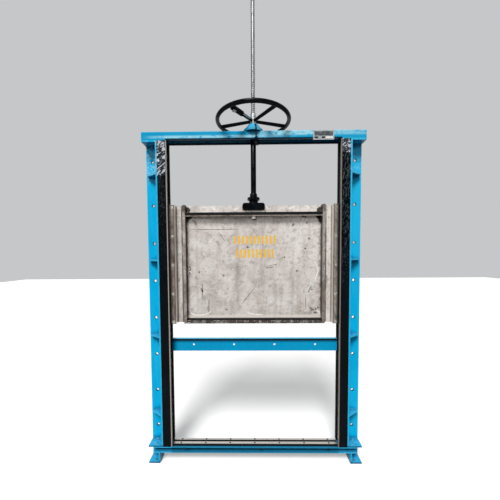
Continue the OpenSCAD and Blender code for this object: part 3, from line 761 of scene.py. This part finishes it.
def screw_stem():
    """Plain black shank below, trapezoidal thread with a 12 mm pitch above."""
    mesh = bmesh.new()
    outer, root, pitch, around = 14 * MM, 10.6 * MM, 12 * MM, 36
    shank_low, shank_high = shelf_high.z + 9 * MM, pedestal_foot + 16 * MM
    thick, eased_off = 18.5 * MM, 17 * MM
    turned(mesh, [(outer, stem_low.z), (outer, shank_low + MM)], 36, Matrix())
    turned(mesh, [(thick, shank_low), (thick, shank_high - 2 * MM), (eased_off, shank_high)], 48, Matrix())
    first, last = shank_high - MM, stem_high.z
    grid = []
    for turn_number in range(-1, ceil((last - first) / pitch) + 1):
        for radius, part in ((root, 0.0), (root, 0.3), (outer, 0.42), (outer, 0.72), (root, 0.84)):
            line = []
            for i in range(around + 1):
                angle = 2 * pi * i / around
                z = first + (turn_number + part + i / around) * pitch
                # The upper end is chamfered over its last 3 mm
                size = min(radius, outer - 1.2 * max(0.0, min(z, last) - last + 3 * MM))
                line.append(mesh.verts.new((size * cos(angle), size * sin(angle), min(max(z, first), last))))
            grid.append(line)
    for lower, upper in zip(grid, grid[1:]):
        for i in range(around):
            mesh.faces.new((lower[i], lower[i + 1], upper[i + 1], upper[i]))
    bmesh.ops.remove_doubles(mesh, verts=mesh.verts, dist=1e-5)
    bmesh.ops.dissolve_degenerate(mesh, edges=mesh.edges, dist=1e-5)
    mesh.faces.new([mesh.verts.new(point) for point in ring(Matrix(), outer - 3.6 * MM, last, around)])
    for face in mesh.faces:
        face.material_index = 1 if face.calc_center_median().z < shank_high else 0
    return piece("screw_stem", mesh, "leaf", [BRIGHT, CAST], 40)


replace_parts(screw_stem(), "stem")


def cast_block():
    """A cast bar with round ends and a boss for the stem, on a pale pad that is set back."""
    mesh = bmesh.new()
    low, high, reach, bend = block_low.z + 16 * MM, block_low.z + 65 * MM, block_high.x, 17 * MM
    middle, half = (low + high) / 2, (high - low) / 2
    outline = [(sx * (reach - bend) + bend * cos(a), middle + sz * (half - bend) + bend * sin(a))
               for sx, sz, start in ((1, -1, -90), (1, 1, 0), (-1, 1, 90), (-1, -1, 180))
               for a in (radians(start + 15 * i) for i in range(7))]
    ease = 3 * MM
    shrunk = [(x - ease * (1 if x > 0 else -1), z - ease * (1 if z > middle else -1)) for x, z in outline]
    back, pad_front = skin_front - 0.3 * MM, -20 * MM
    skinned(mesh, [[(x, y, z) for x, z in points] for points, y in
                   ((shrunk, block_low.y + 1 * MM), (outline, block_low.y + 4 * MM), (outline, back))])
    turned(mesh, [(32 * MM, high - 6 * MM), (30.5 * MM, high + 8 * MM), (29 * MM, collar_low.z + 2 * MM),
                  (27.5 * MM, collar_high.z + 6 * MM), (25 * MM, collar_high.z + 12 * MM),
                  (24.5 * MM, block_high.z - 4 * MM), (22 * MM, block_high.z)], 48, Matrix())
    solid = len(mesh.faces)
    strip(mesh, -reach + 2 * MM, reach - 2 * MM,
          [(back, block_low.z), (pad_front, block_low.z), (pad_front, low), (back, low)])
    mesh.faces.ensure_lookup_table()
    for face in mesh.faces[solid:]:
        face.material_index = 1
    return piece("cast_block", mesh, "leaf", [CAST, STAINLESS], 30)


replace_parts(cast_block(), "stem_block")

# Two set screws hold the collar, 30 degrees to either side of its front
screws = bmesh.new()
for x in (-0.021, 0.021):
    seat = Vector((x, collar_low.y + 5.6 * MM, (collar_low.z + collar_high.z) / 2))
    socket_screw(screws, seat, Vector((x, -0.0364, 0)).normalized(), 3.5 * MM, 1.0 * MM)
piece("collar_screws", screws, "leaf", [SCREW])


# -------------------- leaf: bolts, plug, strips and marking

for side, sign in sides:
    strip_low, strip_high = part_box(side + "_retainer")
    middle = (strip_low.x + strip_high.x) / 2
    bolts = bmesh.new()
    for i, z in enumerate((1.791, 1.595, 1.399, 1.202, 1.006)):
        hex_bolt(bolts, Vector((middle, strip_low.y, z)), FRONT, 11 * MM, 0.4 + i)
    piece(side + "_retainer_bolts", bolts, "leaf", [ZINC])

    # Seams hold the rib on the skin, dark with heat tint and rust
    rib_low, rib_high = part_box(side + "_rib")
    seams = bmesh.new()
    edge, depth = sign * (max(abs(rib_low.x), abs(rib_high.x)) + 1.6 * MM), skin_front - 1.6 * MM
    for z0, z1 in ((rib_low.z + 0.004, 1.26), (1.275, 1.52), (1.53, rib_high.z - 0.006)):
        tube(seams, along((edge, depth, z0), (edge, depth, z1), 4 * MM), 3.2 * MM, 8, 0.2)
    piece(side + "_rib_welds", seams, "leaf", [TINTED], 60)

    # The retainer is an angle: its leg covers the side of the slide bar, back to the skin
    leg = bmesh.new()
    inner = sign * min(abs(strip_low.x), abs(strip_high.x))
    slab(leg, inner, inner - sign * 1.5 * MM, strip_low.z, strip_high.z, strip_low.y + 1 * MM,
         skin_front - 0.2 * MM)
    eased(piece(side + "_retainer_leg", leg, "leaf", [BAR]), 0.4 * MM)

plug = bmesh.new()
profile = [(7 * MM, 0), (7.5 * MM, 2 * MM), (7 * MM, 6 * MM), (4.5 * MM, 8.5 * MM), (1.5 * MM, 9.2 * MM)]
turned(plug, profile, 24, placed(Vector((-0.4525, skin_front, 1.371)), FRONT))
piece("drain_plug", plug, "leaf", [ZINC], 50)

# Two rows of plain stencilled bars
marking = bmesh.new()
width, gap, middle = 0.014, 0.0135, 0.008
for top, bottom, count in ((1.602, 1.545, 11), (1.508, 1.449, 10)):
    x = middle - (count * width + (count - 1) * gap) / 2
    for _ in range(count):
        slab(marking, x, x + width, bottom, top, skin_front - 0.25 * MM, skin_front + 0.1 * MM)
        x += width + gap
piece("stencil_marking", marking, "leaf", [YELLOW])

# Black rubber over the front edge of the shelf, which also stands in for the shade in the gap there, and the
# brown edge of the top member under it
inside, over, under = shelf_high.x, shelf_high.z, shelf_low.z
lip = bmesh.new()
strip(lip, -inside, inside, [(-12 * MM, over), (-12 * MM, over + 2.5 * MM), (-21.5 * MM, over + 3.5 * MM),
                             (-22.5 * MM, over + 2 * MM), (-22.5 * MM, under - 3 * MM),
                             (-20 * MM, under - 3 * MM), (-20 * MM, over)], 0.5 * MM)
piece("shelf_shade_rubber", lip, "leaf", [RUBBER])
lip = bmesh.new()
strip(lip, -inside, inside, [(-16 * MM, under), (-20 * MM, under), (-20 * MM, under - 12 * MM),
                             (-18 * MM, under - 13 * MM), (-16 * MM, under - 12 * MM)], 0.4 * MM, 2.0)
piece("shelf_lip", lip, "leaf", [BROWN])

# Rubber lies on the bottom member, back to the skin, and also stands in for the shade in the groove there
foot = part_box("leaf_bottom_member")[1].z
groove = bmesh.new()
strip(groove, -inside, inside, [(skin_front, foot), (-17 * MM, foot), (-18 * MM, foot + 1 * MM),
                                (-18 * MM, foot + 5 * MM), (-17 * MM, foot + 6 * MM),
                                (skin_front, foot + 6 * MM)], 0.4 * MM, 3.0)
piece("bottom_shade_rubber", groove, "leaf", [RUBBER])


def rubs(name, strokes, width, material):
    """Thin marks that lie on the skin's front; each stroke is points of X and Z, and tapers at its ends."""
    mesh = bmesh.new()
    for number, stroke in enumerate(strokes):
        path = []
        for (x0, z0), (x1, z1) in zip(stroke, stroke[1:]):
            path += along((x0, 0, z0), (x1, 0, z1), 4 * MM)[:-1]
        path.append(Vector((stroke[-1][0], 0, stroke[-1][1])))
        rows = []
        for i, point in enumerate(path):
            ahead = (path[min(i + 1, len(path) - 1)] - path[max(i - 1, 0)]).normalized()
            beside = Vector((-ahead.z, 0, ahead.x))
            taper = min(1.0, 0.25 + 4 * min(i, len(path) - 1 - i) / len(path))
            half = width * taper * (0.5 + 0.4 * noise.noise(point * 160 + UP * number))
            rows.append([(point + beside * k * half).xz for k in (-1, 1)])
        front_y, back_y = skin_front - 0.3 * MM, skin_front + 0.1 * MM
        skinned(mesh, [[(p.x, y, p.y) for p, y in zip((a, b, b, a), (front_y, front_y, back_y, back_y))]
                       for a, b in rows])
    piece(name, mesh, "leaf", [material], 60)


rubs("lime_rubs", (
    ((-0.4576, 1.0794), (-0.448, 1.0556), (-0.4211, 1.0445), (-0.3855, 1.043), (-0.3497, 1.048),
     (-0.321, 1.0574), (-0.3051, 1.0731)),
    ((0.4146, 1.4302), (0.4329, 1.4091), (0.4463, 1.3809), (0.45, 1.3528), (0.4397, 1.3212),
     (0.4259, 1.2824)), ((0.4377, 1.0779), (0.4589, 1.0657), (0.463, 1.0514), (0.4485, 1.0433)),
    ((-0.0648, 1.0673), (-0.0294, 1.0529), (0.0132, 1.0466), (0.0628, 1.0439)),
    ((-0.4669, 1.3752), (-0.4515, 1.3559), (-0.4432, 1.3446)),
), 9 * MM, LIME)
rubs("lime_scraps", (
    ((-0.2936, 1.804), (-0.2638, 1.7788)), ((-0.1402, 1.7806), (-0.1031, 1.7955)),
    ((0.085, 1.808), (0.0989, 1.7856)), ((0.2448, 1.7879), (0.2892, 1.8048)),
    ((0.3605, 1.808), (0.3932, 1.7874)),
), 13 * MM, LIME)
rubs("dark_scratches", (
    ((-0.0893, 1.1175), (-0.0001, 1.2312)), ((-0.4466, 1.6489), (-0.1169, 1.6466)),
    ((-0.2467, 1.6301), (-0.1983, 1.56)), ((0.0781, 1.3864), (0.1695, 1.4035)),
    ((0.3632, 1.1764), (0.3657, 1.0767)),
), 2.6 * MM, SCREW)
rubs("drag_marks", (
    ((-0.365, 1.268), (-0.367, 1.165)), ((-0.377, 1.235), (-0.36, 1.205)),
    ((-0.318, 1.16), (-0.325, 1.06)), ((0.081, 1.377), (0.137, 1.381)),
    ((-0.43, 1.715), (-0.41, 1.7), (-0.4, 1.675)), ((0.405, 1.25), (0.38, 1.2)),
    ((-0.5, 1.53), (-0.498, 1.47)), ((-0.528, 1.31), (-0.53, 1.28)), ((-0.51, 1.13), (-0.512, 1.08)),
    ((0.51, 1.33), (0.512, 1.27)),
), 10 * MM, DRAG)
rubs("dirt_smudges", (
    ((0.268, 1.668), (0.281, 1.686)), ((0.366, 1.684), (0.375, 1.696)),
    ((0.383, 1.588), (0.387, 1.573)), ((0.357, 1.518), (0.362, 1.505)),
    ((0.212, 1.456), (0.218, 1.446)), ((-0.392, 1.352), (-0.382, 1.345)),
    ((-0.219, 1.327), (-0.208, 1.32)), ((-0.203, 1.084), (-0.188, 1.081)),
    ((0.297, 1.36), (0.303, 1.348)), ((0.402, 1.226), (0.413, 1.221)), ((0.392, 1.094), (0.415, 1.083)),
    ((0.4, 1.075), (0.425, 1.078)), ((0.43, 1.094), (0.44, 1.075)), ((0.418, 1.062), (0.445, 1.056)),
    ((0.447, 1.1), (0.455, 1.086)), ((-0.454, 1.392), (-0.449, 1.378)), ((-0.456, 1.35), (-0.45, 1.33)),
    ((-0.05, 1.525), (-0.035, 1.52)), ((0.335, 1.735), (0.37, 1.73)), ((0.006, 1.72), (0.014, 1.712)),
), 11 * MM, SMUDGE)
# Black rust in the upper corners, where the ribs cross the shelf
rubs("corner_rust", (
    ((-0.464, 1.742), (-0.463, 1.722), (-0.465, 1.698)),
    ((-0.464, 1.738), (-0.45, 1.734), (-0.432, 1.732)),
    ((-0.463, 1.803), (-0.459, 1.788), (-0.45, 1.768)), ((0.464, 1.742), (0.463, 1.72), (0.465, 1.69)),
    ((0.464, 1.738), (0.452, 1.732), (0.436, 1.729)), ((0.463, 1.798), (0.457, 1.782), (0.442, 1.768)),
), 26 * MM, BURNT)


# -------------------- wheel: fittings on the grip's spoke

wheel_low, wheel_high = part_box("handwheel")
wheel_z = (wheel_low.z + wheel_high.z) / 2
spoke = radians(234)
outwards = Vector((cos(spoke), sin(spoke), 0))
# The bolt sits 200 mm out, under the spoke; the rod runs beside the spoke from 50 to 128 mm out
fitting = bmesh.new()
hex_bolt(fitting, outwards * 0.2 + UP * (wheel_z - 16.5 * MM), -UP, 13 * MM, 0.5)
piece("grip_bolt", fitting, "wheel", [ZINC])
rod = bmesh.new()
beside = Vector((-outwards.y, outwards.x, 0)) * 11 * MM - UP * 5 * MM
inner, outer = (outwards * away + beside + UP * wheel_z for away in (0.05, 0.128))
tube(rod, along(inner, outer, 5 * MM), 3.4 * MM, 12)
piece("grip_rod", rod, "wheel", [BRIGHT], 60)


# -------------------- finish of the CAD nodes

FINISH = {
    "blue_enamel": BLUE, "black_enamel": GUIDE, "black_casting": CAST, "stainless_steel": STAINLESS,
    "stained_steel": BROWN, "bright_steel": BRIGHT, "rubber": RUBBER, "slide_plastic": PLASTIC,
    "bare_plate": PLATE,
}
ROUNDED = {"handwheel", "stem", "stem_block", "stem_collar", "wheel_nut", "stem_foot_nut", "lock_chain"}
OWN = {"left_rib": STAINED, "right_rib": STAINED, "left_jamb_clamp_bar": BAR, "right_jamb_clamp_bar": BAR,
       "sill_clamp_bars": BAR, "leaf_bottom_member": TINTED}
for row in frame["record"]["subparts"]:
    node = frame["nodes"][row["node"]]
    node.data.materials.clear()
    node.data.materials.append(OWN.get(row["node"], FINISH[row["material_slot"]]))
    if row["node"] not in ROUNDED:
        eased(node, (0.35 if "seal" in row["node"] or row["node"] == "bare_plate" else 0.9) * MM)


# -------------------- floor, light and camera

def pale_floor():
    """Plain pale studio floor that keeps the shadows."""
    material, tree, _ = blank("pale_floor")
    camera_ray = put(tree, "LightPath", out="Is Camera Ray")
    glossy_ray = put(tree, "LightPath", out="Is Glossy Ray")
    seen = put(tree, "Math", {0: camera_ray, 1: glossy_ray}, operation="MAXIMUM")
    # What bounces off the floor is kept low, so that undersides stay as deep as in the photo
    colour = coats(tree, "#3a3a39", ("#e6e6e4", seen))
    half = put(tree, "Math", {0: seen, 1: 0.3}, operation="MULTIPLY")
    glow = put(tree, "Emission", {"Color": linear("#e9eaea"), "Strength": half})
    lit = put(tree, "AddShader", {0: put(tree, "BsdfDiffuse", {"Color": colour}), 1: glow})
    put(tree, "OutputMaterial", {"Surface": lit})
    return material


ground = bmesh.new()
bmesh.ops.create_grid(ground, x_segments=1, y_segments=1, size=14)
data = bpy.data.meshes.new("pale_floor")
ground.to_mesh(data)
ground.free()
data.materials.append(pale_floor())
floor = bpy.data.objects.new("pale_floor", data)
bpy.context.collection.objects.link(floor)

world = bpy.data.worlds.new("studio")
bpy.context.scene.world = world
world.use_nodes = True
sky = world.node_tree
sky.nodes.clear()
shown = put(sky, "LightPath", out="Is Camera Ray")
for ray in ("Is Glossy Ray", "Is Transmission Ray"):
    shown = put(sky, "Math", {0: shown, 1: put(sky, "LightPath", out=ray)}, operation="MAXIMUM")
strength = put(sky, "MapRange", {"Value": shown, "To Min": 0.34, "To Max": 0.62})
backdrop = put(sky, "Background", {"Color": linear("#f4f6f8"), "Strength": strength})
put(sky, "OutputWorld", {"Surface": backdrop})


def aimed(name, light, place, target):
    """A lamp at a place that looks at a point."""
    thing = bpy.data.objects.new(name, light)
    thing.location = place
    thing.rotation_euler = (Vector(target) - Vector(place)).to_track_quat("-Z", "Y").to_euler()
    bpy.context.collection.objects.link(thing)


# One broad and distant light from above and in front
overhead = bpy.data.lights.new("overhead", "SUN")
overhead.energy = 3.3
overhead.angle = 0.35
aimed("overhead", overhead, (-0.6, -2.6, 4.6), (0, 0, 1.3))
# A tall narrow box draws the upright streak on the stem, and stays off the flat faces
strip_box = bpy.data.lights.new("strip_box", "AREA")
strip_box.shape = "RECTANGLE"
strip_box.size, strip_box.size_y = 0.3, 0.9
strip_box.energy = 20
aimed("strip_box", strip_box, (-1.2, -4.5, 3.3), (0, 0, 2.0))

# The camera stands 1.8 m in front of the origin, 1.47 m up, and looks slightly down and left. Its focal
# length and its shift were fitted in pixels, in a picture 500 pixels wide.
picture, focal, shift, film_width = 500, 260, 16.5, 36
yaw, pitch, roll = radians(0.709), radians(2.691), radians(0.337)
lens = bpy.data.cameras.new("photo_view")
lens.sensor_width = film_width
lens.lens = film_width * focal / picture
lens.shift_y = shift / picture
lens.clip_start = 0.02
camera = bpy.data.objects.new("photo_view", lens)
camera.matrix_world = (Matrix.Translation((-0.0048, -1.8081, 1.4728)) @ Matrix.Rotation(yaw, 4, "Z")
                       @ Matrix.Rotation(pi / 2 - pitch, 4, "X") @ Matrix.Rotation(-roll, 4, "Z"))
bpy.context.collection.objects.link(camera)
bpy.context.scene.camera = camera
bpy.context.scene.view_settings.view_transform = "Standard"
